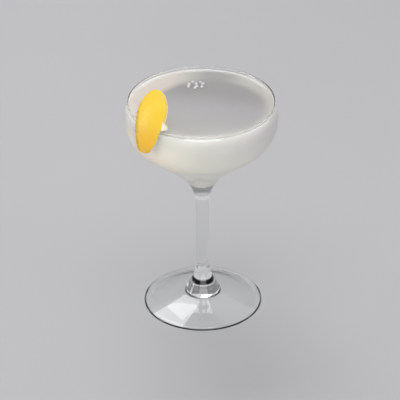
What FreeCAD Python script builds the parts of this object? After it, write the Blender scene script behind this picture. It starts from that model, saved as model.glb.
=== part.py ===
"""An aviation cocktail in its stemmed coupe glass, with a lemon peel hung on the rim.

Millimetres, +Z up. The origin is the centre of the plane the foot rests on, front
is -Y and +X is to the right. Three separate pieces are built, each written to its
own STEP file:

    glass       bowl, stem and foot in one piece of clear glass
    drink       what fills the bowl, up to its level
    lemon_peel  an oval slice of lemon skin, slit at one side and hung on the rim
"""

import FreeCAD, Part
import math
import os
from FreeCAD import Rotation, Vector

# ---- the glass as a whole ----
glass_height = 150.2
lip_radius = 47.5
wall = 1.25

# ---- the bowl: a rounded shoulder above a straight cone ----
bulge_swell = 1.5
bulge_drop = 12.2
shoulder_rounding = 24.3
cone_angle = 51.3
bowl_floor_rounding = 8.0

# ---- the stem: a steep flare under the bowl, then a slender taper ----
collar_radius = 14.3
collar_rounding = 3.0
flare_angle = 33.7
flare_rounding = 31.7
stem_radius_top = 4.28
stem_radius_low = 4.1

# ---- the foot: a small steep cone under the stem, then a thin plate shaped like a wide low cone ----
base_angle = 27.5
base_rounding = 30.0
hub_radius = 11.8
hub_rounding = 4.0
foot_radius = 38.75
foot_slope = 15.0
foot_edge = 1.8
foot_edge_rounding = 0.6
rest_ring_outer = 37.4
rest_ring_inner = 35.5
underside_hollow = 7.0

# ---- the drink ----
drink_drop = 2.9
drink_gap = 0.1

# ---- the lemon peel: its own shape ----
peel_length = 40.8
peel_width = 21.0
peel_thickness = 1.8
peel_fullness_top = 1.75
peel_fullness_low = 3.2
peel_taper = 0.38
peel_bow = 1.7
lemon_girth_radius = 28.0
lemon_length_radius = 45.0
peel_outline_points = 20

# ---- the lemon peel: its place on the rim ----
peel_bearing = 46.4
peel_facing = 40.0
peel_lean = 31.0
peel_turn = -6.3
peel_rise = 4.4
peel_gap = 0.25

# ---- sizes that follow ----
bulge_radius = lip_radius + bulge_swell
bulge_height = glass_height - bulge_drop
lip_height = glass_height - wall / 2
drink_level = glass_height - drink_drop
hub_height = foot_edge + (foot_radius - hub_radius) * math.tan(math.radians(foot_slope))

UP = Vector(0, 0, 1)
CENTRE = Vector(0, 0, 0)


def at(radius, height):
    """A point of a turned outline."""
    return Vector(radius, 0, height)


def turned(edges):
    """The solid that a closed chain of edges in the X-Z plane makes when turned about Z."""
    ring = Part.Wire(Part.sortEdges(edges)[0])
    return Part.Face(ring).revolve(CENTRE, UP, 360)


def rounded_chain(points):
    """Runs along (radius, height, rounding) points, each rounding an arc tangent to both its runs."""
    edges = []
    start = at(*points[0][:2])
    for (radius, height, rounding), after in zip(points[1:], points[2:]):
        corner = at(radius, height)
        back = (start - corner).normalize()
        ahead = (at(*after[:2]) - corner).normalize()
        half_angle = back.getAngle(ahead) / 2
        reach = rounding / math.tan(half_angle)
        inward = (back + ahead).normalize()
        nearest = corner + inward * (rounding / math.sin(half_angle) - rounding)
        first = corner + back * reach
        last = corner + ahead * reach
        edges.append(Part.makeLine(start, first))
        edges.append(Part.Arc(first, nearest, last).toShape())
        start = last
    end = at(*points[-1][:2])
    if not start.isEqual(end, 1e-6):
        edges.append(Part.makeLine(start, end))
    return edges


def shoulder_corner(depth):
    """Where the bowl's cone would meet its upright side, at a depth inside the outer face."""
    half_turn = math.radians(cone_angle) / 2
    return bulge_radius - depth, bulge_height - (shoulder_rounding - depth) * math.tan(half_turn)


def side_arc(depth):
    """The gently closing side of the bowl, from the bulge, where it is upright, up to the lip."""
    rise = lip_height - bulge_height
    rounding = (rise ** 2 + bulge_swell ** 2) / (2 * bulge_swell)
    half_turn = math.asin(rise / rounding) / 2
    low = at(bulge_radius - depth, bulge_height)
    middle = low + at(rounding * (math.cos(half_turn) - 1), rounding * math.sin(half_turn))
    return Part.Arc(low, middle, at(lip_radius - depth, lip_height)).toShape()


def outside_edges():
    """The outside of the glass, from the foot's edge up to the lip."""
    corner_radius, corner_height = shoulder_corner(0)
    collar_height = corner_height - (corner_radius - collar_radius) / math.tan(math.radians(cone_angle))
    flare_foot = collar_height - (collar_radius - stem_radius_top) / math.tan(math.radians(flare_angle))
    base_top = hub_height + (hub_radius - stem_radius_low) / math.tan(math.radians(base_angle))
    return rounded_chain([
        (foot_radius, foot_edge / 2, 0),
        (foot_radius, foot_edge, foot_edge_rounding),
        (hub_radius, hub_height, hub_rounding),
        (stem_radius_low, base_top, base_rounding),
        (stem_radius_top, flare_foot, flare_rounding),
        (collar_radius, collar_height, collar_rounding),
        (corner_radius, corner_height, shoulder_rounding),
        (bulge_radius, bulge_height, 0),
    ]) + [side_arc(0)]


def bowl_edges(depth):
    """A bowl's outline at a depth inside the outer face, from the middle of its floor to the lip."""
    tilt = math.radians(cone_angle)
    rounding = bowl_floor_rounding + wall - depth
    corner_radius, corner_height = shoulder_corner(depth)
    cone_run = (corner_radius - rounding * math.cos(tilt)) / math.sin(tilt)
    cone_foot = corner_height - cone_run * math.cos(tilt)
    floor_centre = cone_foot + rounding * math.sin(tilt)

    def on_floor(turn):
        return at(rounding * math.sin(turn), floor_centre - rounding * math.cos(turn))

    floor_turn = math.pi / 2 - tilt
    side = rounded_chain([
        (rounding * math.cos(tilt), cone_foot, 0),
        (corner_radius, corner_height, shoulder_rounding - depth),
        (bulge_radius - depth, bulge_height, 0),
    ])
    floor = Part.Arc(on_floor(0), on_floor(floor_turn / 2), on_floor(floor_turn)).toShape()
    return [floor] + side + [side_arc(depth)]


def bowl_fill(depth, low, high):
    """A solid that fills the bowl out to a depth inside its outer face, between two heights."""
    edges = bowl_edges(depth)
    floor = edges[0].Vertexes[0].Point
    rim = lip_radius - depth
    top = 2 * glass_height
    edges += [
        Part.makeLine(at(rim, lip_height), at(rim, top)),
        Part.makeLine(at(rim, top), at(0, top)),
        Part.makeLine(at(0, top), floor),
    ]
    slab = Part.makeCylinder(2 * bulge_radius, high - low, Vector(0, 0, low))
    return turned(edges).common(slab)


def glass():
    """Bowl, stem and foot, with a half-round lip and a hollow underside."""
    inside = bowl_edges(wall)
    floor = inside[0].Vertexes[0].Point
    lip = Part.Arc(
        at(lip_radius, lip_height), at(lip_radius - wall / 2, glass_height), at(lip_radius - wall, lip_height)
    ).toShape()
    underside = [
        Part.makeLine(floor, CENTRE),
        Part.makeLine(CENTRE, at(rest_ring_outer, 0)),
        Part.makeLine(at(rest_ring_outer, 0), at(foot_radius, foot_edge / 2)),
    ]
    body = turned(outside_edges() + [lip] + inside + underside)
    return body.cut(underside_dome())


def underside_dome():
    """The dome of air under the foot, inside the ring it rests on."""
    rounding = (rest_ring_inner ** 2 + underside_hollow ** 2) / (2 * underside_hollow)
    return Part.makeSphere(rounding, Vector(0, 0, underside_hollow - rounding))


def lemon(depth):
    """The middle of a whole lemon, a depth under its skin, with its front at the origin and its length up."""
    half_length = 0.7 * peel_length
    rounding = lemon_length_radius - depth
    end = lemon_girth_radius - lemon_length_radius + math.sqrt(rounding ** 2 - half_length ** 2)
    axis = Vector(0, lemon_girth_radius, 0)

    def on_skin(radius, height):
        return axis + Vector(0, -radius, height)

    skin = Part.Arc(
        on_skin(end, -half_length), on_skin(lemon_girth_radius - depth, 0), on_skin(end, half_length)
    ).toShape()
    ring = Part.Wire([
        skin,
        Part.makeLine(on_skin(end, half_length), on_skin(0, half_length)),
        Part.makeLine(on_skin(0, half_length), on_skin(0, -half_length)),
        Part.makeLine(on_skin(0, -half_length), on_skin(end, -half_length)),
    ])
    return Part.Face(ring).revolve(axis, UP, 360)


def peel_prism():
    """The oval the peel is cut along, wide and round on top, blunt below, as a prism through the skin."""

    def swell(value, fullness):
        return math.copysign(abs(value) ** (2 / fullness), value)

    points = []
    for step in range(peel_outline_points):
        turn = 2 * math.pi * step / peel_outline_points
        fullness = peel_fullness_top if math.sin(turn) > 0 else peel_fullness_low
        across = swell(math.cos(turn), fullness)
        along = swell(math.sin(turn), fullness)
        half_width = peel_width / 2 * (1 + peel_taper * along)
        shift = peel_bow * (across ** 2 - 0.5)
        points.append(Vector(half_width * across + shift, -peel_width / 2, peel_length / 2 * along))
    outline = Part.BSplineCurve()
    outline.interpolate(Points=points, PeriodicFlag=True)
    oval = Part.Face(Part.Wire(outline.toShape()))
    return oval.extrude(Vector(0, peel_width / 2 + lemon_girth_radius, 0))


def lemon_peel():
    """The peel in its place, with the slit that the bowl's wall passes through, and clear of the drink."""
    slice_of_skin = lemon(0).cut(lemon(peel_thickness)).common(peel_prism())
    turn = (
        Rotation(UP, -peel_facing)
        * Rotation(Vector(1, 0, 0), -peel_lean)
        * Rotation(Vector(0, 1, 0), peel_turn)
    )
    on_lip = Rotation(UP, -peel_bearing).multVec(Vector(0, -lip_radius, glass_height))
    slice_of_skin.Placement = FreeCAD.Placement(on_lip + UP * peel_rise, turn)
    taken = bowl_fill(-peel_gap, 0, glass_height + peel_gap)
    air = bowl_fill(wall + peel_gap, drink_level + peel_gap, glass_height + wall)
    hung = slice_of_skin.cut(taken.cut(air))
    return max(hung.Solids, key=lambda solid: solid.Volume)


def drink():
    """The drink, up to its level."""
    return bowl_fill(wall + drink_gap, 0, drink_level)


def main():
    os.makedirs("parts", exist_ok=True)
    pieces = {"glass": glass(), "drink": drink(), "lemon_peel": lemon_peel()}
    for name, piece in pieces.items():
        piece.exportStep(f"parts/{name}.step")
        box = piece.BoundBox
        print(f"{name}: solids {len(piece.Solids)}, valid {piece.isValid()}, volume {piece.Volume:.0f} mm3,"
              f" x {box.XMin:.1f}..{box.XMax:.1f}, y {box.YMin:.1f}..{box.YMax:.1f},"
              f" z {box.ZMin:.1f}..{box.ZMax:.1f}")


main()
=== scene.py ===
"""The looks of an aviation cocktail in its stemmed coupe glass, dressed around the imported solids.

Metres, +Z up. The origin is the centre of the plane the foot rests on, front is -Y and
+X is to the right. Sizes are named in millimetres, as a maker measures them, and become
metres where a mesh is made. Finishes, lamps and the camera name theirs in metres.
"""

import logging
from dataclasses import dataclass
from enum import Enum
from functools import reduce
from itertools import pairwise
from math import acos, asin, atan2, ceil, copysign, cos, dist, exp, pi, radians, sin, sqrt, tan

import bmesh
import bpy
from mathutils import Matrix, Vector


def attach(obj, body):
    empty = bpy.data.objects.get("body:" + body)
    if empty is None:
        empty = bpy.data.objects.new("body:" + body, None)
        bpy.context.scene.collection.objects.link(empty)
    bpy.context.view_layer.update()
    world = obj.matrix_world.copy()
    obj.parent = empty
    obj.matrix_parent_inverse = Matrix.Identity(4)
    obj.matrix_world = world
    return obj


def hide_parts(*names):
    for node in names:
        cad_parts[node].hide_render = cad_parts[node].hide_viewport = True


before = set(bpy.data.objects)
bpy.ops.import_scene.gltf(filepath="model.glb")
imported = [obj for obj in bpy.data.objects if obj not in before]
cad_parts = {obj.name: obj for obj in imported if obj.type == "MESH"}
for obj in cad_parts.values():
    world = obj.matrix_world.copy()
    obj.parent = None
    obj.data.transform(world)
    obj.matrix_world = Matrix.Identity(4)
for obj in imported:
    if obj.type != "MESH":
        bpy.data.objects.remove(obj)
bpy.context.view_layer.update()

LOG = logging.getLogger("cocktail")
MM = 0.001
BODY = "root"
LONGEST_CHORD = 1.6
SAME_POINT = 1e-4

Piece = bpy.types.Object
Material = bpy.types.Material
Socket = bpy.types.NodeSocket
Value = Socket | float | int | tuple
Inputs = dict[int | str, Value]
Colour = tuple[float, float, float]
Spot = tuple[float, float, float]
Span = tuple[float, float]
Outline = list[Span]


# ---- node graphs


class Graph:
    """Adds nodes to a node tree and joins them."""

    def __init__(self, tree: bpy.types.NodeTree) -> None:
        """Starts from an empty tree."""
        self.tree = tree
        tree.nodes.clear()

    def node(self, kind: str, inputs: Inputs | None = None, **settings: object) -> bpy.types.Node:
        """Adds one node.

        Args:
            kind: The node's type name.
            inputs: Sockets or plain values, by the input's name or number.
            settings: The node's own properties.

        Returns:
            The new node.
        """
        made = self.tree.nodes.new(kind)
        for name, value in settings.items():
            setattr(made, name, value)
        for key, value in (inputs or {}).items():
            socket = made.inputs[key]
            if isinstance(value, Socket):
                self.tree.links.new(value, socket)
            else:
                socket.default_value = (*value, 1.0) if socket.type == "RGBA" else value
        return made

    def result(self, kind: str, inputs: Inputs | None = None, **settings: object) -> Socket:
        """Adds one node and gives its first output."""
        return self.node(kind, inputs, **settings).outputs[0]

    def maths(self, operation: str, *values: Value) -> Socket:
        """The result of one step of arithmetic on numbers."""
        return self.result("ShaderNodeMath", dict(enumerate(values)), operation=operation)

    def times(self, *values: Value) -> Socket:
        """The product of some numbers."""
        return reduce(lambda first, second: self.maths("MULTIPLY", first, second), values)

    def vector(self, operation: str, *values: Value) -> Socket:
        """The vector that one step of arithmetic on vectors gives."""
        return self.result("ShaderNodeVectorMath", dict(enumerate(values)), operation=operation)

    def length(self, vector: Value) -> Socket:
        """The length of a vector."""
        return self.node("ShaderNodeVectorMath", {0: vector}, operation="LENGTH").outputs["Value"]

    def fade(self, value: Value, start: float, end: float) -> Socket:
        """A smooth rise from 0 where value is start to 1 where it is end."""
        places = {"Value": value, "From Min": start, "From Max": end}
        return self.result("ShaderNodeMapRange", places, interpolation_type="SMOOTHSTEP")

    def spread(self, value: Value, low: float, high: float) -> Socket:
        """A value from 0 to 1 as one from low to high."""
        return self.result("ShaderNodeMapRange", {"Value": value, "To Min": low, "To Max": high})

    def noise(self, place: Value, size: float, detail: float = 2.0, turbulence: float = 0.5) -> Socket:
        """Soft uneven patches, from about 0.3 to 0.7.

        Args:
            place: Where on the surface.
            size: How large the patches are, in metres.
            detail: How many finer layers they have.
            turbulence: How strong those layers are.

        Returns:
            The patches' value.
        """
        settings = {"Vector": place, "Scale": 1 / size, "Detail": detail, "Roughness": turbulence}
        return self.result("ShaderNodeTexNoise", settings)

    def tint(self, share: Value, first: Value, second: Value) -> Socket:
        """A colour that goes from first to second as share goes from 0 to 1."""
        ends = {0: share, 6: first, 7: second}
        return self.node("ShaderNodeMix", ends, data_type="RGBA").outputs[2]


def screen(*levels: int) -> Colour:
    """The light that a screen's red, green and blue levels, from 0 to 255, stand for."""
    shares = [level / 255 for level in levels]
    return tuple(s / 12.92 if s <= 0.04045 else ((s + 0.055) / 1.055) ** 2.4 for s in shares)


class Way(Enum):
    """A direction in which one colour of the drink gives way to another."""

    RIGHT = "right"
    BACK = "back"
    WAVY_BACK = "back, slanted and uneven"
    UP = "up"


Fade = tuple[Way, float, float]


@dataclass(frozen=True)
class Paint:
    """A ground colour and the washes laid over it in turn.

    Each wash is a colour and the fades whose product says how strong it is. Each fade is a
    direction and the millimetres where it starts and where it is full.
    """

    ground: Colour
    washes: tuple[tuple[Colour, tuple[Fade, ...]], ...]

    def show(self, graph: Graph, ways: dict[Way, Socket]) -> Value:
        """Lays the washes over the ground.

        Args:
            graph: The material's graph.
            ways: How far a point lies in each direction, in metres.

        Returns:
            The colour.
        """
        shown: Value = self.ground
        for colour, fades in self.washes:
            shares = [graph.fade(ways[way], start * MM, end * MM) for way, start, end in fades]
            shown = graph.tint(graph.times(*shares), shown, colour)
        return shown


# ---- finishes


class Finish:
    """A material made of nodes that read the object's own coordinates."""

    title: str

    def looks(self, graph: Graph, place: Socket) -> Inputs:
        """What the main shader is given."""
        raise NotImplementedError

    def surface(self, graph: Graph, shader: Socket) -> Socket:
        """What the surface shows: the main shader alone, unless a finish adds to it."""
        return shader

    def material(self) -> Material:
        """Makes the material.

        Returns:
            The material, ready for a piece.
        """
        material = bpy.data.materials.new(self.title)
        material.use_nodes = True
        graph = Graph(material.node_tree)
        place = graph.node("ShaderNodeTexCoord").outputs["Object"]
        shader = graph.result("ShaderNodeBsdfPrincipled", self.looks(graph, place))
        graph.node("ShaderNodeOutputMaterial", {"Surface": self.surface(graph, shader)})
        return material


@dataclass(frozen=True)
class ClearGlass(Finish):
    """Clear drinking glass with the faint smears that a cloth leaves."""

    title: str = "clear_glass"
    tint: Colour = (0.945, 0.952, 0.95)
    refraction: float = 1.5
    smear_size: float = 12 * MM
    smear_stretch: Spot = (1.0, 1.0, 0.35)
    smear_edge: Span = (0.45, 0.75)
    roughness: Span = (0.0, 0.035)

    def looks(self, graph: Graph, place: Socket) -> Inputs:
        """Clear, and slightly duller where it is smeared.

        Args:
            graph: The material's graph.
            place: The object's own coordinates.

        Returns:
            The main shader's inputs.
        """
        stretched = graph.result("ShaderNodeMapping", {"Vector": place, "Scale": self.smear_stretch})
        smears = graph.noise(stretched, self.smear_size, detail=4.0, turbulence=0.6)
        roughness = graph.spread(graph.fade(smears, *self.smear_edge), *self.roughness)
        return {
            "Base Color": self.tint,
            "Roughness": roughness,
            "IOR": self.refraction,
            "Transmission Weight": 1.0,
        }

    def surface(self, graph: Graph, shader: Socket) -> Socket:
        """Lets the lamps' light through to what the glass holds and stands on."""
        return graph.result("ShaderNodeMixShader", {
            0: graph.node("ShaderNodeLightPath").outputs["Is Shadow Ray"],
            1: shader,
            2: graph.result("ShaderNodeBsdfTransparent", {"Color": self.tint}),
        })


@dataclass(frozen=True)
class CloudyDrink(Finish):
    """A pale cloudy drink: milky in its depth, glossy on top, paler where light comes in by the wall."""

    title: str = "cloudy_drink"
    level: float = 147.3 * MM
    top_skin: Span = (0.6 * MM, 0.2 * MM)
    # Painted shade on the middle of the surface: darker towards the back, lighter towards the front.
    pool: Paint = Paint(screen(179, 177, 178), (
        (screen(164, 162, 161), ((Way.WAVY_BACK, -4, 22),)),
        (screen(193, 191, 189), ((Way.WAVY_BACK, 0, -38),)),
    ))
    # Painted light round the margin where light comes in by the wall: creamy at the left, greyer to the
    # right, paler grey at the front, with painted shade at the back middle.
    margin: Paint = Paint(screen(215, 207, 199), (
        (screen(193, 191, 185), ((Way.RIGHT, -22, -4),)),
        (screen(210, 208, 202), ((Way.BACK, -8, -34),)),
        (screen(171, 169, 167), ((Way.BACK, 22, 34), (Way.RIGHT, -10, 7), (Way.RIGHT, 32, 12))),
    ))
    # Painted light and shade down the sides: greyer to the right, lighter towards the bottom and warmest at
    # the lower left.
    side: Paint = Paint(screen(214, 213, 207), (
        (screen(210, 207, 207), ((Way.RIGHT, -8, 42),)),
        (screen(234, 233, 224), ((Way.UP, 140, 112),)),
        (screen(240, 232, 219), ((Way.RIGHT, 5, -35), (Way.UP, 147, 130))),
    ))
    pool_centre: Spot = (4.5 * MM, -4 * MM, 0.0)
    pool_edge: Span = (33 * MM, 41 * MM)
    pool_waver: float = 4 * MM
    shade_wobble_size: float = 22 * MM
    slant: float = 0.3
    slant_waver: float = 5 * MM
    gloss: float = 0.06
    refraction: float = 1.34
    glow: float = 1.0
    glow_colour: Colour = (1.0, 1.0, 0.95)
    glow_reach: float = 12 * MM

    def looks(self, graph: Graph, place: Socket) -> Inputs:
        """Painted light and shade: grey in the middle of its surface, paler and creamier round the margin
        where light comes in by the wall, and lighter down the sides.

        Args:
            graph: The material's graph.
            place: The object's own coordinates.

        Returns:
            The main shader's inputs.
        """
        x, y, z = graph.node("ShaderNodeSeparateXYZ", {0: place}).outputs
        # Uneven noise that wobbles the edges of the painted light and shade.
        shade_wobble = graph.noise(place, self.shade_wobble_size, detail=3.0)
        slanted = graph.maths("ADD", y, graph.times(x, self.slant))
        wavy = graph.maths("ADD", slanted, graph.spread(shade_wobble, -self.slant_waver, self.slant_waver))
        ways = {Way.RIGHT: x, Way.BACK: y, Way.WAVY_BACK: wavy, Way.UP: z}
        flat = graph.vector("MULTIPLY", place, (1.0, 1.0, 0.0))
        away = graph.length(graph.vector("SUBTRACT", flat, self.pool_centre))
        away = graph.maths("ADD", away, graph.spread(shade_wobble, -self.pool_waver, self.pool_waver))
        ring = graph.fade(away, *self.pool_edge)
        top = graph.tint(ring, self.pool.show(graph, ways), self.margin.show(graph, ways))
        on_top = graph.fade(z, *(self.level - depth for depth in self.top_skin))
        return {
            "Base Color": graph.tint(on_top, self.side.show(graph, ways), top),
            "Roughness": self.gloss,
            "IOR": self.refraction,
            "Subsurface Weight": self.glow,
            "Subsurface Radius": self.glow_colour,
            "Subsurface Scale": self.glow_reach,
        }


@dataclass(frozen=True)
class LemonRind(Finish):
    """Yellow zest over pale pith, told apart by how deep under the lemon's skin a point lies."""

    lie: Matrix
    girth_radius: float
    length_radius: float
    half_length: float
    title: str = "lemon_peel"
    ripe: Colour = screen(246, 206, 60)
    # Painted shade: a deeper gold for the lower part, which gets less light than the top.
    golden: Colour = screen(243, 190, 58)
    # Painted shade at the lower tip, which curls under away from the light.
    tip_shade: Colour = screen(214, 172, 62)
    # Painted shade for the left edge, which turns away from the light, darkest in its pores.
    edge_shade: Colour = screen(158, 148, 52)
    pith: Colour = screen(243, 238, 214)
    unevenness_size: float = 9 * MM
    golden_top: float = 8 * MM
    golden_waver: float = 0.25
    golden_edge: Span = (0.1, 0.9)
    tip: Span = (-13 * MM, -21 * MM)
    tip_patches: Span = (0.35, 0.6)
    tip_strength: float = 0.5
    edge_shade_slant: float = 0.2
    edge_shade_side: Span = (-5.5 * MM, -8.6 * MM)
    speckle_size: float = 1.7 * MM
    speckle_edge: Span = (0.55, 0.25)
    speckle_strength: Span = (0.25, 0.9)
    zest_depth: float = 0.75 * MM
    zest_waver: float = 0.2 * MM
    zest_edge: float = 0.15 * MM
    flap_right: Span = (10.6 * MM, 11.3 * MM)
    flap_low: Span = (1.6 * MM, 0.6 * MM)
    roughness: Span = (0.38, 0.75)
    glow: float = 0.15
    glow_colour: Colour = (1.0, 0.7, 0.3)
    glow_reach: float = 1.5 * MM

    def under_skin(self, graph: Graph, local: Socket, along: Socket) -> Socket:
        """How deep a point lies under the skin of the lemon it was cut from.

        Args:
            graph: The material's graph.
            local: The point in the peel's own frame, its skin facing -Y and its length up.
            along: How far up it lies.

        Returns:
            The depth in metres.
        """
        axis = (0.0, self.girth_radius, 0.0)
        from_axis = graph.vector("MULTIPLY", graph.vector("SUBTRACT", local, axis), (1.0, 1.0, 0.0))
        beyond = graph.maths("ADD", graph.length(from_axis), self.length_radius - self.girth_radius)
        round_end = graph.result("ShaderNodeCombineXYZ", {0: beyond, 2: along})
        return graph.maths("SUBTRACT", self.length_radius, graph.length(round_end))

    def looks(self, graph: Graph, place: Socket) -> Inputs:
        """Yellow outside, pale inside and on the cut edges' inner part, with painted shade deeper towards
        the lower end, at the tip and along the left edge.

        Args:
            graph: The material's graph.
            place: The object's own coordinates.

        Returns:
            The main shader's inputs.
        """
        turn = self.lie.to_euler("XYZ")
        settings = {"Vector": place, "Location": self.lie.translation, "Rotation": turn}
        local = graph.result("ShaderNodeMapping", settings, vector_type="TEXTURE")
        across, _, along = graph.node("ShaderNodeSeparateXYZ", {0: local}).outputs
        unevenness = graph.noise(local, self.unevenness_size, detail=3.0, turbulence=0.55)
        # Painted shade: deeper gold towards the lower end, with an uneven edge.
        waver = graph.spread(unevenness, -self.golden_waver, self.golden_waver)
        low = graph.maths("ADD", graph.fade(along, self.golden_top, -self.half_length), waver)
        skin = graph.tint(graph.fade(low, *self.golden_edge), self.ripe, self.golden)
        # Painted shade: darker brownish patches at the lower tip.
        patches = graph.fade(unevenness, *self.tip_patches)
        tip = graph.times(graph.fade(along, *self.tip), patches, self.tip_strength)
        skin = graph.tint(tip, skin, self.tip_shade)
        # Painted shade: olive along the left edge, darker in speckles where its pores are.
        speckles = graph.result("ShaderNodeTexVoronoi", {"Vector": local, "Scale": 1 / self.speckle_size})
        leftwards = graph.maths("ADD", across, graph.times(along, self.edge_shade_slant))
        spotted = graph.spread(graph.fade(speckles, *self.speckle_edge), *self.speckle_strength)
        marks = graph.times(graph.fade(leftwards, *self.edge_shade_side), spotted)
        skin = graph.tint(marks, skin, self.edge_shade)
        zest = graph.maths("ADD", self.zest_depth, graph.spread(unevenness, -self.zest_waver, self.zest_waver))
        below_zest = graph.maths("SUBTRACT", self.under_skin(graph, local, along), zest)
        inside = graph.fade(below_zest, -self.zest_edge, self.zest_edge)
        flap = graph.times(graph.fade(across, *self.flap_right), graph.fade(along, *self.flap_low))
        inside = graph.maths("MAXIMUM", inside, flap)
        return {
            "Base Color": graph.tint(inside, skin, self.pith),
            "Roughness": graph.spread(inside, *self.roughness),
            "Subsurface Weight": self.glow,
            "Subsurface Radius": self.glow_colour,
            "Subsurface Scale": self.glow_reach,
        }


@dataclass(frozen=True)
class Patchy(Finish):
    """A finish whose colour varies in soft patches: the bubbles' pale skin, or the studio's matt paper."""

    title: str
    colour: Colour
    shade: Colour
    patch_size: float
    patch_edge: Span
    others: tuple[tuple[str, float], ...]

    def looks(self, graph: Graph, place: Socket) -> Inputs:
        """One colour with patches of a second."""
        patches = graph.fade(graph.noise(place, self.patch_size), *self.patch_edge)
        return {"Base Color": graph.tint(patches, self.colour, self.shade), **dict(self.others)}


# Pale skin for the bubbles: partly the froth's own paleness, partly a painted highlight standing in for the
# glints of clear bubbles.
FROTH = Patchy(
    "bubble_skin", (0.93, 0.93, 0.91), (0.8, 0.8, 0.79), patch_size=0.8 * MM, patch_edge=(0.35, 0.65),
    others=(("Roughness", 0.04), ("IOR", 1.33), ("Transmission Weight", 0.12)),
)
STUDIO_PAPER = Patchy(
    "studio_paper", screen(188, 188, 190), screen(185, 185, 187), patch_size=400 * MM,
    patch_edge=(0.3, 0.7), others=(("Roughness", 0.9), ("Specular IOR Level", 0.1)),
)


@dataclass(frozen=True)
class WaterDrop(Finish):
    """Clear water that has dried a little at its edge."""

    title: str = "water_drop"
    tint: Colour = (0.97, 0.98, 0.98)
    clearness: float = 0.6
    refraction: float = 1.33
    patch_size: float = 0.6 * MM
    roughness: Span = (0.0, 0.12)

    def looks(self, graph: Graph, place: Socket) -> Inputs:
        """Half clear, with an uneven gloss."""
        return {
            "Base Color": self.tint,
            "Roughness": graph.spread(graph.noise(place, self.patch_size), *self.roughness),
            "IOR": self.refraction,
            "Transmission Weight": self.clearness,
        }


# ---- geometry trees


class Takes(Enum):
    """What a tree's named input takes."""

    NUMBER = "NodeSocketFloat"
    COUNT = "NodeSocketInt"
    FINISH = "NodeSocketMaterial"


class Shape(Graph):
    """A Geometry Nodes tree with named sizes, which turns one object's mesh into another."""

    def __init__(self, title: str) -> None:
        """Makes the tree with its geometry sockets.

        Args:
            title: The tree's name.
        """
        super().__init__(bpy.data.node_groups.new(title, "GeometryNodeTree"))
        for side in ("INPUT", "OUTPUT"):
            self.tree.interface.new_socket("Geometry", in_out=side, socket_type="NodeSocketGeometry")
        self.inlet = self.node("NodeGroupInput")

    def size(self, name: str, takes: Takes = Takes.NUMBER) -> Socket:
        """Adds a named input to the tree and gives the socket of its value."""
        self.tree.interface.new_socket(name, in_out="INPUT", socket_type=takes.value)
        return self.inlet.outputs[name]

    def close(self, geometry: Socket, finish: Socket) -> None:
        """Ends the tree: instances become mesh and take their finish.

        Args:
            geometry: What the tree has made.
            finish: The material input.
        """
        real = self.result("GeometryNodeRealizeInstances", {0: geometry})
        smooth = self.result("GeometryNodeSetShadeSmooth", {0: real})
        dressed = self.result("GeometryNodeSetMaterial", {"Geometry": smooth, "Material": finish})
        self.node("NodeGroupOutput", {0: dressed})

    def apply(self, piece: Piece, **values: object) -> Piece:
        """Runs the tree on an object and keeps what it makes as a plain mesh.

        Args:
            piece: The object to change.
            values: The tree's inputs, with _ for a space in a name.

        Returns:
            The same object.
        """
        modifier = piece.modifiers.new(self.tree.name, "NODES")
        modifier.node_group = self.tree
        for name, value in values.items():
            size = self.tree.interface.items_tree[name.replace("_", " ")]
            modifier[size.identifier] = value
        settle(piece)
        return piece


def settle(piece: Piece) -> None:
    """Takes an object's modifiers into its mesh and removes them.

    Args:
        piece: The object.
    """
    bpy.context.view_layer.update()
    graph = bpy.context.evaluated_depsgraph_get()
    made = bpy.data.meshes.new_from_object(piece.evaluated_get(graph), depsgraph=graph)
    piece.modifiers.clear()
    piece.data = made
    made.name = piece.name


def new_piece(name: str, points: list[Vector], edges: list, faces: list) -> Piece:
    """Makes an object at the origin.

    Args:
        name: The object's name.
        points: Its points, in metres.
        edges: Pairs of point numbers.
        faces: Rings of point numbers.

    Returns:
        The object, in the scene.
    """
    mesh = bpy.data.meshes.new(name)
    mesh.from_pydata([tuple(point) for point in points], edges, faces)
    piece = bpy.data.objects.new(name, mesh)
    bpy.context.scene.collection.objects.link(piece)
    return piece


class Lathe(Shape):
    """Turns an outline, drawn from the axis round to the axis, into a closed skin about Z."""

    def __init__(self) -> None:
        """Lays the outline's points out in rows round the axis and closes the seam."""
        super().__init__("lathe")
        outline = self.inlet.outputs[0]
        steps = self.size("Steps", Takes.COUNT)
        finish = self.size("Finish", Takes.FINISH)
        rows = self.node("GeometryNodeAttributeDomainSize", {0: outline}).outputs["Point Count"]
        columns = self.maths("ADD", steps, 1)
        grid = self.result("GeometryNodeMeshGrid", {"Vertices X": rows, "Vertices Y": columns})
        index = self.result("GeometryNodeInputIndex")
        row = self.maths("FLOOR", self.maths("DIVIDE", self.maths("ADD", index, 0.5), columns))
        column = self.maths("SUBTRACT", index, self.times(row, columns))
        place = self.result("GeometryNodeInputPosition")
        sampled = {"Geometry": outline, 1: place, "Index": row}
        taken = self.result("GeometryNodeSampleIndex", sampled, data_type="FLOAT_VECTOR")
        radius, _, height = self.node("ShaderNodeSeparateXYZ", {0: taken}).outputs
        angle = self.maths("DIVIDE", self.times(column, -2 * pi), steps)
        x = self.times(radius, self.maths("COSINE", angle))
        y = self.times(radius, self.maths("SINE", angle))
        turned = self.result("ShaderNodeCombineXYZ", {0: x, 1: y, 2: height})
        skin = self.result("GeometryNodeSetPosition", {"Geometry": grid, "Position": turned})
        closed = self.result("GeometryNodeMergeByDistance", {"Geometry": skin, "Distance": 1e-6})
        self.close(closed, finish)

    def turn(self, name: str, outline: Outline, steps: int, finish: Material) -> Piece:
        """Makes a turned piece.

        Args:
            name: The piece's name.
            outline: Radius and height in millimetres, up the outside and back down the inside.
            steps: How many faces go round.
            finish: Its material.

        Returns:
            The piece.
        """
        points = [Vector((radius, 0, height)) * MM for radius, height in outline]
        piece = new_piece(name, points, [(i, i + 1) for i in range(len(points) - 1)], [])
        return self.apply(piece, Steps=steps, Finish=finish)


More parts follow.
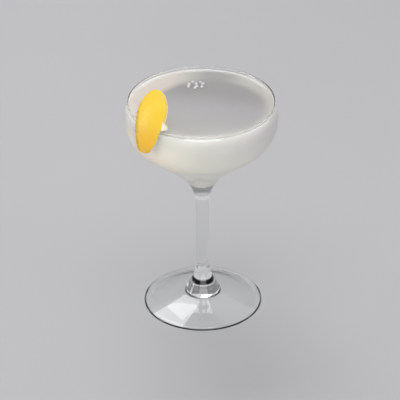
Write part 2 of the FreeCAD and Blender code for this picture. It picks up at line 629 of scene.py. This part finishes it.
class Scatter(Shape):
    """Sets small rounded beads over a patch, each a little different in size."""

    def __init__(self) -> None:
        """Puts a flattened ball on each of some points that keep apart."""
        super().__init__("scatter")
        patch = self.inlet.outputs[0]
        apart, crowd, least, most, flatness = (
            self.size(name) for name in ("Apart", "Crowd", "Least Radius", "Most Radius", "Flatness")
        )
        detail = self.size("Detail", Takes.COUNT)
        seed = self.size("Seed", Takes.COUNT)
        finish = self.size("Finish", Takes.FINISH)
        crowding = {"Mesh": patch, "Distance Min": apart, "Density Max": crowd, "Seed": seed}
        spread = self.node("GeometryNodeDistributePointsOnFaces", crowding, distribute_method="POISSON")
        spots, turns = spread.outputs["Points"], spread.outputs["Rotation"]
        bead = self.result("GeometryNodeMeshIcoSphere", {"Radius": 1.0, "Subdivisions": detail})
        sizes = {2: least, 3: most, "Seed": seed}
        radius = self.node("FunctionNodeRandomValue", sizes, data_type="FLOAT").outputs[1]
        scale = self.result("ShaderNodeCombineXYZ", {0: radius, 1: radius, 2: self.times(radius, flatness)})
        laid = {"Points": spots, "Instance": bead, "Rotation": turns, "Scale": scale}
        self.close(self.result("GeometryNodeInstanceOnPoints", laid), finish)


class PeelSkin(Shape):
    """Pits a peel's skin with pores and makes its pith slightly uneven."""

    pore_edge: Span = (0.48, 0.1)
    swell_size: float = 5 * MM
    grain_size: float = 1.2 * MM

    def __init__(self) -> None:
        """Moves each point along its normal, by pores on the skin and by grain elsewhere."""
        super().__init__("peel_skin")
        peel = self.inlet.outputs[0]
        spacing, depth, swell, grain = (
            self.size(name) for name in ("Pore Spacing", "Pore Depth", "Swell", "Grain")
        )
        finish = self.size("Finish", Takes.FINISH)
        place = self.result("GeometryNodeInputPosition")
        normal = self.result("GeometryNodeInputNormal")
        skin = self.result("GeometryNodeInputNamedAttribute", {"Name": "skin"}, data_type="FLOAT")
        cell = self.result("ShaderNodeCombineXYZ", {0: spacing, 1: spacing, 2: spacing})
        cells = {"Vector": self.vector("DIVIDE", place, cell), "Scale": 1.0}
        pore = self.fade(self.result("ShaderNodeTexVoronoi", cells), *self.pore_edge)
        pit = self.times(pore, self.times(depth, -1.0))
        rise = self.times(self.spread(self.noise(place, self.swell_size), -1.0, 1.0), swell)
        rough = self.times(self.spread(self.noise(place, self.grain_size), -1.0, 1.0), grain)
        on_skin = self.times(self.maths("ADD", pit, rise), skin)
        on_pith = self.times(rough, self.maths("SUBTRACT", 1.0, skin))
        shift = {0: normal, "Scale": self.maths("ADD", on_skin, on_pith)}
        offset = self.result("ShaderNodeVectorMath", shift, operation="SCALE")
        self.close(self.result("GeometryNodeSetPosition", {"Geometry": peel, "Offset": offset}), finish)


# ---- outlines


def arc(centre: Span, radius: float, start: float, end: float, turn: float = 3.0) -> Outline:
    """Points along an arc.

    Args:
        centre: Its centre's radius and height.
        radius: Its own radius.
        start: The angle it starts at, in radians from the outward direction.
        end: The angle it ends at.
        turn: The most degrees between two points.

    Returns:
        The points, both ends among them.
    """
    sweep = abs(end - start)
    count = max(2, ceil(sweep / radians(turn)), ceil(sweep * radius / LONGEST_CHORD))
    angles = [start + (end - start) * i / count for i in range(count + 1)]
    return [(centre[0] + radius * cos(a), centre[1] + radius * sin(a)) for a in angles]


def straight(first: Span, last: Span, longest: float = 2.0) -> Outline:
    """Points along a straight run, both ends among them."""
    count = max(1, ceil(dist(first, last) / longest))
    return [tuple(a + (b - a) * i / count for a, b in zip(first, last)) for i in range(count + 1)]


def joined(*runs: Outline) -> Outline:
    """One outline from several, without the points that they share."""
    points = [point for run in runs for point in run]
    return points[:1] + [after for point, after in pairwise(points) if dist(point, after) > SAME_POINT]


def rounded(corners: list[Spot]) -> Outline:
    """Runs along corners, each with its own rounding.

    Args:
        corners: Radius, height and rounding of each corner.

    Returns:
        The outline's points.
    """
    runs: list[Outline] = []
    start = Vector(corners[0][:2])
    for (*corner, rounding), after in zip(corners[1:], corners[2:]):
        corner = Vector(corner)
        back = (start - corner).normalized()
        ahead = (Vector(after[:2]) - corner).normalized()
        half = back.angle(ahead) / 2
        centre = corner + (back + ahead).normalized() * (rounding / sin(half))
        reach = rounding / tan(half)
        first, last = corner + back * reach, corner + ahead * reach
        begin = atan2(first.y - centre.y, first.x - centre.x)
        sweep = atan2(last.y - centre.y, last.x - centre.x) - begin
        sweep = (sweep + pi) % (2 * pi) - pi
        runs += [straight(start, first), arc(centre, rounding, begin, begin + sweep)]
        start = last
    runs.append(straight(start, corners[-1][:2]))
    return joined(*runs)


def below(outline: Outline, height: float) -> Outline:
    """Cuts a rising outline off at a height.

    Args:
        outline: The outline.
        height: Where to cut it.

    Returns:
        The part under the height, up to that height exactly.
    """
    cut = next(i for i, point in enumerate(outline) if point[1] >= height)
    (inner, low), (outer, high) = outline[cut - 1], outline[cut]
    return outline[:cut] + [(inner + (outer - inner) * ((height - low) / (high - low)), height)]


# ---- the glass


@dataclass
class Coupe:
    """The glass: a wide shallow bowl on a slender stem and a round foot, in one piece."""

    height: float = 150.2
    lip_radius: float = 47.5
    wall: float = 1.25
    bulge_swell: float = 1.5
    bulge_drop: float = 12.2
    shoulder_rounding: float = 24.3
    cone_angle: float = radians(51.3)
    floor_rounding: float = 8.0
    collar_radius: float = 14.3
    collar_rounding: float = 3.0
    flare_angle: float = radians(33.7)
    flare_rounding: float = 31.7
    stem_radius_top: float = 4.28
    stem_radius_low: float = 4.1
    base_angle: float = radians(27.5)
    base_rounding: float = 30.0
    hub_radius: float = 11.8
    hub_rounding: float = 4.0
    foot_radius: float = 38.75
    foot_slope: float = radians(15.0)
    foot_edge: float = 1.8
    foot_edge_rounding: float = 0.6
    rest_ring_outer: float = 37.4
    rest_ring_inner: float = 35.5
    rest_ring_rounding: float = 0.9
    underside_hollow: float = 7.0
    steps_round: int = 240
    finish: ClearGlass = ClearGlass()

    @property
    def bulge_radius(self) -> float:
        """The widest radius of the bowl."""
        return self.lip_radius + self.bulge_swell

    @property
    def bulge_height(self) -> float:
        """How high the bowl is widest."""
        return self.height - self.bulge_drop

    @property
    def lip_height(self) -> float:
        """Where the half-round lip starts."""
        return self.height - self.wall / 2

    def foot_height(self, radius: float) -> float:
        """How high the foot's sloping top is at a radius."""
        return self.foot_edge + (self.foot_radius - radius) * tan(self.foot_slope)

    def shoulder(self, depth: float) -> Span:
        """Where the cone would meet the upright side, at a depth inside the outer face."""
        down = (self.shoulder_rounding - depth) * tan(self.cone_angle / 2)
        return self.bulge_radius - depth, self.bulge_height - down

    def side(self, depth: float) -> Outline:
        """Draws the gently closing side above the bulge.

        Args:
            depth: How far inside the outer face.

        Returns:
            Points from the bulge up to where the lip starts.
        """
        rise = self.lip_height - self.bulge_height
        rounding = (rise ** 2 + self.bulge_swell ** 2) / (2 * self.bulge_swell)
        centre = (self.bulge_radius - rounding - depth, self.bulge_height)
        return arc(centre, rounding, 0.0, asin(rise / rounding), turn=1.5)

    def bowl(self, depth: float) -> Outline:
        """Draws the bowl at a depth inside its outer face.

        Args:
            depth: How far inside the outer face, or outside it where negative.

        Returns:
            Points from the middle of the bowl's floor up to the lip.
        """
        rounding = self.floor_rounding + self.wall - depth
        corner = self.shoulder(depth)
        run = (corner[0] - rounding * cos(self.cone_angle)) / sin(self.cone_angle)
        foot = corner[1] - run * cos(self.cone_angle)
        centre = (0.0, foot + rounding * sin(self.cone_angle))
        floor = arc(centre, rounding, -pi / 2, -self.cone_angle)
        wall = rounded([
            (rounding * cos(self.cone_angle), foot, 0),
            (*corner, self.shoulder_rounding - depth),
            (self.bulge_radius - depth, self.bulge_height, 0),
        ])
        return joined(floor, wall, self.side(depth))

    def lip(self, gap: float = 0.0) -> Outline:
        """The half-round lip, from outside to inside, grown by a gap."""
        centre = (self.lip_radius - self.wall / 2, self.lip_height)
        return arc(centre, self.wall / 2 + gap, 0.0, pi, turn=15.0)

    def underside(self) -> Outline:
        """Draws the hollow underside.

        Returns:
            Points from the middle out to the ring that the foot rests on.
        """
        reach = self.rest_ring_inner
        rounding = (reach ** 2 + self.underside_hollow ** 2) / (2 * self.underside_hollow)
        centre = (0.0, self.underside_hollow - rounding)
        return arc(centre, rounding, pi / 2, acos(reach / rounding), turn=1.0)

    def outside(self) -> Outline:
        """Draws the outside.

        Returns:
            Points from the ring that the foot rests on up to the lip.
        """
        hub_height = self.foot_height(self.hub_radius)
        shoulder = self.shoulder(0)
        collar_height = shoulder[1] - (shoulder[0] - self.collar_radius) / tan(self.cone_angle)
        flare_foot = collar_height - (self.collar_radius - self.stem_radius_top) / tan(self.flare_angle)
        base_top = hub_height + (self.hub_radius - self.stem_radius_low) / tan(self.base_angle)
        return joined(rounded([
            (self.rest_ring_inner, 0, 0),
            (self.rest_ring_outer, 0, self.rest_ring_rounding),
            (self.foot_radius, self.foot_edge / 2, self.foot_edge_rounding / 2),
            (self.foot_radius, self.foot_edge, self.foot_edge_rounding),
            (self.hub_radius, hub_height, self.hub_rounding),
            (self.stem_radius_low, base_top, self.base_rounding),
            (self.stem_radius_top, flare_foot, self.flare_rounding),
            (self.collar_radius, collar_height, self.collar_rounding),
            (*shoulder, self.shoulder_rounding),
            (self.bulge_radius, self.bulge_height, 0),
        ]), self.side(0))

    def build(self, lathe: Lathe) -> None:
        """Makes the glass as one turned piece in its finish.

        Args:
            lathe: What turns it.
        """
        outline = joined(self.underside(), self.outside(), self.lip(), self.bowl(self.wall)[::-1])
        glass = lathe.turn("coupe_glass", outline, self.steps_round, self.finish.material())
        belongs(glass, "glass")


def belongs(piece: Piece, node: str | None) -> None:
    """Ties a finished piece to the frame.

    Args:
        piece: The piece.
        node: The CAD node that it stands for, if any.
    """
    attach(piece, BODY)
    if node:
        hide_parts(node)
    LOG.info("%s: %d faces", piece.name, len(piece.data.polygons))


# ---- the drink


@dataclass
class Drink:
    """The drink, out to just inside the glass's wall, with its edge drawn up against it."""

    glass: Coupe
    drop: float = 2.9
    wall_reach: float = 0.12
    creep: float = 0.9
    creep_reach: float = 1.2
    creep_width: float = 7.0
    creep_points: int = 24
    creep_crowding: float = 1.6
    creep_share: float = 0.998
    steps_round: int = 192
    finish: CloudyDrink = CloudyDrink()

    @property
    def level(self) -> float:
        """The height of the drink's surface."""
        return self.glass.height - self.drop

    def surface(self, edge: float) -> Outline:
        """Draws the surface.

        Args:
            edge: The radius at which it meets the wall.

        Returns:
            Points from where it has crept up the wall, down and in to the middle.
        """
        shares = [i / self.creep_points for i in range(self.creep_points + 1)]
        inward = [self.creep_width * share ** self.creep_crowding for share in shares]
        least = exp(-self.creep_width / self.creep_reach)
        curve = [
            (edge - d, self.level + self.creep * (exp(-d / self.creep_reach) - least)) for d in inward
        ]
        return joined(curve, straight(curve[-1], (0.0, self.level), longest=3.0))

    def build(self, lathe: Lathe) -> None:
        """Makes the drink as one closed turned piece in its finish.

        Args:
            lathe: What turns it.
        """
        bowl = self.glass.bowl(self.glass.wall - self.wall_reach)
        side = below(bowl, self.level + self.creep * self.creep_share)
        outline = joined(side, self.surface(side[-1][0]))
        drink = lathe.turn("cocktail", outline, self.steps_round, self.finish.material())
        belongs(drink, "drink")


@dataclass(frozen=True)
class Beads:
    """How small rounded beads lie over a patch, and how large they are."""

    apart: float
    crowd: float
    least_radius: float
    most_radius: float
    flatness: float
    seed: int
    detail: int = 4

    def over(self, patch: Piece, scatter: Scatter, finish: Finish) -> Piece:
        """Turns a patch into the beads that lie on it, in their finish."""
        return scatter.apply(
            patch, Apart=self.apart * MM, Crowd=self.crowd, Least_Radius=self.least_radius * MM,
            Most_Radius=self.most_radius * MM, Flatness=self.flatness, Detail=self.detail, Seed=self.seed,
            Finish=finish.material(),
        )


@dataclass
class Bubbles:
    """A few small bubbles gathered on the drink towards its back."""

    drink: Drink
    centre_x: float = -3.4
    centre_y: float = 26.6
    half_width: float = 5.6
    half_depth: float = 4.4
    lift: float = 0.1875
    corners: int = 24
    beads: Beads = Beads(apart=2.3, crowd=4e5, least_radius=0.75, most_radius=1.25, flatness=0.9, seed=5)
    finish: Patchy = FROTH

    def patch(self) -> Piece:
        """Makes the oval part of the surface where they lie.

        Returns:
            The oval as one face.
        """
        turns = [2 * pi * i / self.corners for i in range(self.corners)]
        across = [self.centre_x + self.half_width * cos(turn) for turn in turns]
        back = [self.centre_y + self.half_depth * sin(turn) for turn in turns]
        points = [Vector((x, y, self.drink.level + self.lift)) * MM for x, y in zip(across, back)]
        return new_piece("bubbles", points, [], [list(range(self.corners))])

    def build(self, scatter: Scatter) -> None:
        """Makes all the bubbles as one piece."""
        belongs(self.beads.over(self.patch(), scatter, self.finish), None)


@dataclass
class FootDrops:
    """Small drops of water left on the foot at its left."""

    glass: Coupe
    nearest: float = 28.5
    farthest: float = 34.5
    first_bearing: float = radians(176)
    last_bearing: float = radians(212)
    columns: int = 12
    beads: Beads = Beads(apart=5.0, crowd=6e4, least_radius=0.4, most_radius=1.0, flatness=0.5, seed=3)
    finish: WaterDrop = WaterDrop()

    def patch(self) -> Piece:
        """Makes the part of the foot's top where they lie.

        Returns:
            The part as one row of faces.
        """
        sweep = self.last_bearing - self.first_bearing
        turns = [self.first_bearing + sweep * i / self.columns for i in range(self.columns + 1)]
        points = [
            Vector((r * cos(t), r * sin(t), self.glass.foot_height(r))) * MM
            for r in (self.nearest, self.farthest) for t in turns
        ]
        far = self.columns + 1
        faces = [(i, i + far, i + far + 1, i + 1) for i in range(self.columns)]
        return new_piece("foot_drops", points, [], faces)

    def build(self, scatter: Scatter) -> None:
        """Makes all the drops as one piece."""
        belongs(self.beads.over(self.patch(), scatter, self.finish), None)


# ---- the lemon peel


@dataclass
class LemonPeel:
    """An oval slice of lemon skin, slit at one side and hung on the rim."""

    glass: Coupe
    drink: Drink
    length: float = 40.8
    width: float = 21.0
    thickness: float = 1.8
    fullness_top: float = 1.75
    fullness_low: float = 3.2
    taper: float = 0.38
    bow: float = 1.7
    girth_radius: float = 28.0
    length_radius: float = 45.0
    bearing: float = radians(46.4)
    facing: float = radians(40.0)
    lean: float = radians(31.0)
    turn: float = radians(-6.3)
    rise: float = 4.4
    slit_gap: float = 0.12
    edge_rounding: float = 0.32
    edge_trim: float = 0.22
    edge_waves: tuple[Spot, ...] = ((3, 0.6, 1.0), (7, 2.1, 0.6), (13, 4.0, 0.4))
    wave_share: float = 0.4
    flap_reach: float = 3.0
    flap_along: float = -1.8
    flap_half: float = 1.9
    spokes: int = 360
    rings: int = 64
    edge_rings: int = 4
    wall_rings: int = 5
    inner_rings: int = 20
    pore_spacing: float = 1.25
    pore_depth: float = 0.13
    swell: float = 0.12
    grain: float = 0.14
    crisp_edge: float = radians(50)

    def place(self) -> Matrix:
        """Finds where it hangs.

        Returns:
            What takes the peel's own frame, in metres, to its place on the rim.
        """
        lip = Matrix.Rotation(-self.bearing, 3, "Z") @ Vector((0, -self.glass.lip_radius, self.glass.height))
        facing, lean = Matrix.Rotation(-self.facing, 4, "Z"), Matrix.Rotation(-self.lean, 4, "X")
        turned = facing @ lean @ Matrix.Rotation(self.turn, 4, "Y")
        return Matrix.Translation((lip + Vector((0, 0, self.rise))) * MM) @ turned

    def edge(self, turn: float) -> Vector:
        """Finds the cut edge at an angle round the oval.

        Args:
            turn: The angle.

        Returns:
            How far across and along it lies.
        """
        fullness = self.fullness_top if sin(turn) > 0 else self.fullness_low
        across, along = (copysign(abs(value) ** (2 / fullness), value) for value in (cos(turn), sin(turn)))
        waver = sum(strength * sin(count * turn + start) for count, start, strength in self.edge_waves)
        shrink = 1 - (1 - self.wave_share + self.wave_share * waver) * self.edge_trim / self.width
        half_width = self.width / 2 * (1 + self.taper * along)
        bowed = half_width * across + self.bow * (across ** 2 - 0.5)
        point = Vector((bowed, self.length / 2 * along)) * shrink
        if across > 0:
            point.x += self.flap_reach * exp(-(((point.y - self.flap_along) / self.flap_half) ** 4))
        return point

    def under(self, across: float, along: float, depth: float) -> Vector:
        """A point at a depth under the skin, in the peel's own frame."""
        girth = self.girth_radius - self.length_radius + sqrt(
            (self.length_radius - depth) ** 2 - along ** 2
        )
        return Vector((across, self.girth_radius - sqrt(girth ** 2 - across ** 2), along))

    def profile(self) -> list[Spot]:
        """Goes from the middle of the skin, over the cut edge, to the middle of the pith.

        Returns:
            For each ring, its share of the way out, how far it is drawn in, and its depth.
        """
        soft = self.edge_rounding
        bends = [pi / 2 * i / self.edge_rings for i in range(self.edge_rings + 1)]
        skin = [(i / self.rings, soft, 0.0) for i in range(1, self.rings)]
        over = [(1.0, soft * (1 - sin(b)), soft * (1 - cos(b))) for b in bends]
        room = self.thickness - 2 * soft
        cut = [(1.0, 0.0, soft + room * i / self.wall_rings) for i in range(1, self.wall_rings)]
        back = [(1.0, soft * (1 - cos(b)), self.thickness - soft * (1 - sin(b))) for b in bends]
        pith = [(1 - i / self.inner_rings, soft, self.thickness) for i in range(1, self.inner_rings)]
        return skin + over + cut + back + pith

    def whole(self) -> Piece:
        """Makes the peel before it is slit.

        Returns:
            The peel, with a mark on its skin's points.
        """
        edges = [self.edge(2 * pi * i / self.spokes) for i in range(self.spokes)]
        points, marks = [self.under(0, 0, 0)], [1.0]
        for share, inset, depth in self.profile():
            flat = [edge * share * (1 - inset / edge.length) for edge in edges]
            points += [self.under(across, along, depth) for across, along in flat]
            marks += [max(0.0, 1 - depth / self.edge_rounding)] * self.spokes
        points.append(self.under(0, 0, self.thickness))
        marks.append(0.0)
        last, n = len(points) - 1, self.spokes
        faces: list[tuple[int, ...]] = []
        for i in range(n):
            j = (i + 1) % n
            faces.append((0, 1 + i, 1 + j))
            faces += [(a + i, a + n + i, a + n + j, a + j) for a in range(1, last - n, n)]
            faces.append((last - n + i, last, last - n + j))
        place = self.place()
        peel = new_piece("lemon_twist", [place @ (point * MM) for point in points], [], faces)
        marked = peel.data.attributes.new("skin", "FLOAT", "POINT")
        marked.data.foreach_set("value", marks)
        return peel

    def slit(self) -> Outline:
        """Draws what the peel is cut clear of.

        Returns:
            The bowl's wall, and the drink up to its level.
        """
        inner = self.glass.bowl(self.glass.wall + self.slit_gap)
        level = self.drink.level + self.slit_gap
        down = [point for point in inner[::-1] if point[1] > level]
        floor = [below(inner, level)[-1], (0.0, level)]
        return joined(self.glass.bowl(-self.slit_gap), self.glass.lip(self.slit_gap), down, floor)

    def build(self, lathe: Lathe) -> None:
        """Makes the peel with its pores and its finish, slit and hung.

        Args:
            lathe: What turns the shape that the slit is cut with.
        """
        lemon = (self.girth_radius * MM, self.length_radius * MM, self.length / 2 * MM)
        finish = LemonRind(self.place(), *lemon).material()
        peel = PeelSkin().apply(
            self.whole(), Pore_Spacing=self.pore_spacing * MM, Pore_Depth=self.pore_depth * MM,
            Swell=self.swell * MM, Grain=self.grain * MM, Finish=finish,
        )
        cutter = lathe.turn("slit_cutter", self.slit(), self.glass.steps_round, finish)
        cut = peel.modifiers.new("slit", "BOOLEAN")
        cut.operation = "DIFFERENCE"
        cut.solver = "EXACT"
        cut.object = cutter
        settle(peel)
        bpy.data.objects.remove(cutter)
        keep_largest(peel.data)
        peel.data.set_sharp_from_angle(angle=self.crisp_edge)
        belongs(peel, "lemon_peel")


def keep_largest(mesh: bpy.types.Mesh) -> None:
    """Leaves only the largest of a mesh's separate parts.

    Args:
        mesh: The mesh to change.
    """
    work = bmesh.new()
    work.from_mesh(mesh)
    unseen, largest = set(work.verts), set()
    while unseen:
        part, edge = set(), {unseen.pop()}
        while edge:
            part |= edge
            edge = {e.other_vert(v) for v in edge for e in v.link_edges} - part
        unseen -= part
        largest = max(largest, part, key=len)
    bmesh.ops.delete(work, geom=[v for v in work.verts if v not in largest], context="VERTS")
    work.to_mesh(mesh)
    work.free()


# ---- the studio


@dataclass
class SoftBox:
    """A soft lamp that shines towards the glass. Its sizes are metres and watts."""

    name: str
    place: Spot
    width: float
    height: float
    power: float
    aim: Spot = (0.0, 0.0, 0.08)

    def build(self) -> None:
        """Makes the lamp and turns it to its aim."""
        lamp = bpy.data.lights.new(self.name, "AREA")
        lamp.shape = "RECTANGLE"
        lamp.size = self.width
        lamp.size_y = self.height
        lamp.energy = self.power
        made = bpy.data.objects.new(self.name, lamp)
        made.location = self.place
        made.rotation_euler = (Vector(self.aim) - Vector(self.place)).to_track_quat("-Z", "Y").to_euler()
        bpy.context.scene.collection.objects.link(made)


@dataclass
class Studio:
    """Floor, light and camera around the glass."""

    floor_radius: float = 2500.0
    floor_middle: float = 300.0
    floor_drop: float = 0.15
    floor_steps: int = 96
    sweep_radius: float = 1500.0
    wall_rise: float = 2.2
    paper: Patchy = STUDIO_PAPER
    lamps: tuple[SoftBox, ...] = (
        SoftBox("left_softbox", (-1.35, -0.1, 0.6), width=0.25, height=0.9, power=5.0),
        SoftBox("right_softbox", (1.35, 0.3, 0.55), width=0.15, height=0.8, power=2.5),
        SoftBox("front_fill", (0.1, -1.5, 0.3), width=1.6, height=0.9, power=14.0, aim=(0.0, 0.0, 0.12)),
        SoftBox("top_softbox", (-0.1, -0.2, 1.7), width=1.0, height=1.0, power=4.6),
        SoftBox("back_softbox", (-0.22, 0.8, 1.3), width=0.7, height=0.75, power=6.0, aim=(0.0, 0.0, 0.04)),
    )
    sky: Colour = (0.69, 0.69, 0.7)
    camera_elevation: float = radians(30.835)
    camera_distance: float = 1.71473
    camera_roll: float = radians(-0.522)
    camera_lens: float = 237.76
    camera_sensor: float = 36.0
    camera_reach: float = 50.0
    aim_x: float = -1.38 * MM
    aim_z: float = 76.98 * MM

    def floor(self, lathe: Lathe) -> None:
        """Lays a round pale floor that rises at its rim.

        Args:
            lathe: What turns it.
        """
        centre = (self.floor_radius, self.sweep_radius - self.floor_drop)
        rise = arc(centre, self.sweep_radius, -pi / 2, 0.0, turn=6.0)
        middle = [(0.0, -self.floor_drop), (self.floor_middle, -self.floor_drop)]
        top = (self.floor_radius + self.sweep_radius, self.wall_rise * self.sweep_radius)
        outline = joined(middle, rise, [top])
        lathe.turn("studio_floor", outline[::-1], self.floor_steps, self.paper.material())

    def world(self) -> None:
        """Surrounds the glass with even pale light."""
        world = bpy.data.worlds.new("surround")
        world.use_nodes = True
        graph = Graph(world.node_tree)
        light = graph.result("ShaderNodeBackground", {"Color": self.sky, "Strength": 1.0})
        graph.node("ShaderNodeOutputWorld", {"Surface": light})
        bpy.context.scene.world = world

    def camera(self) -> None:
        """Sets up a long lens that looks down on the glass from the front."""
        up, level = sin(self.camera_elevation), cos(self.camera_elevation)
        data = bpy.data.cameras.new("camera")
        data.sensor_width = self.camera_sensor
        data.lens = self.camera_lens
        data.clip_end = self.camera_reach
        made = bpy.data.objects.new("camera", data)
        right, above, back = Vector((1, 0, 0)), Vector((0, up, level)), Vector((0, -level, up))
        turn = Matrix((right, above, back)).transposed().to_4x4() @ Matrix.Rotation(self.camera_roll, 4, "Z")
        place = Vector((self.aim_x, -self.camera_distance * level, self.aim_z + self.camera_distance * up))
        made.matrix_world = Matrix.Translation(place) @ turn
        bpy.context.scene.collection.objects.link(made)
        bpy.context.scene.camera = made

    def build(self, lathe: Lathe) -> None:
        """Sets the whole studio up.

        Args:
            lathe: What turns the floor.
        """
        bpy.context.scene.view_settings.view_transform = "Standard"
        self.camera()
        self.world()
        for lamp in self.lamps:
            lamp.build()
        self.floor(lathe)


def main() -> None:
    """Builds the studio, the glass, and what is in it and on it."""
    logging.basicConfig(level=logging.INFO, format="%(name)s %(message)s")
    lathe, scatter = Lathe(), Scatter()
    Studio().build(lathe)
    glass = Coupe()
    glass.build(lathe)
    drink = Drink(glass)
    drink.build(lathe)
    LemonPeel(glass, drink).build(lathe)
    Bubbles(drink).build(scatter)
    FootDrops(glass).build(scatter)


if __name__ == "__main__":
    main()
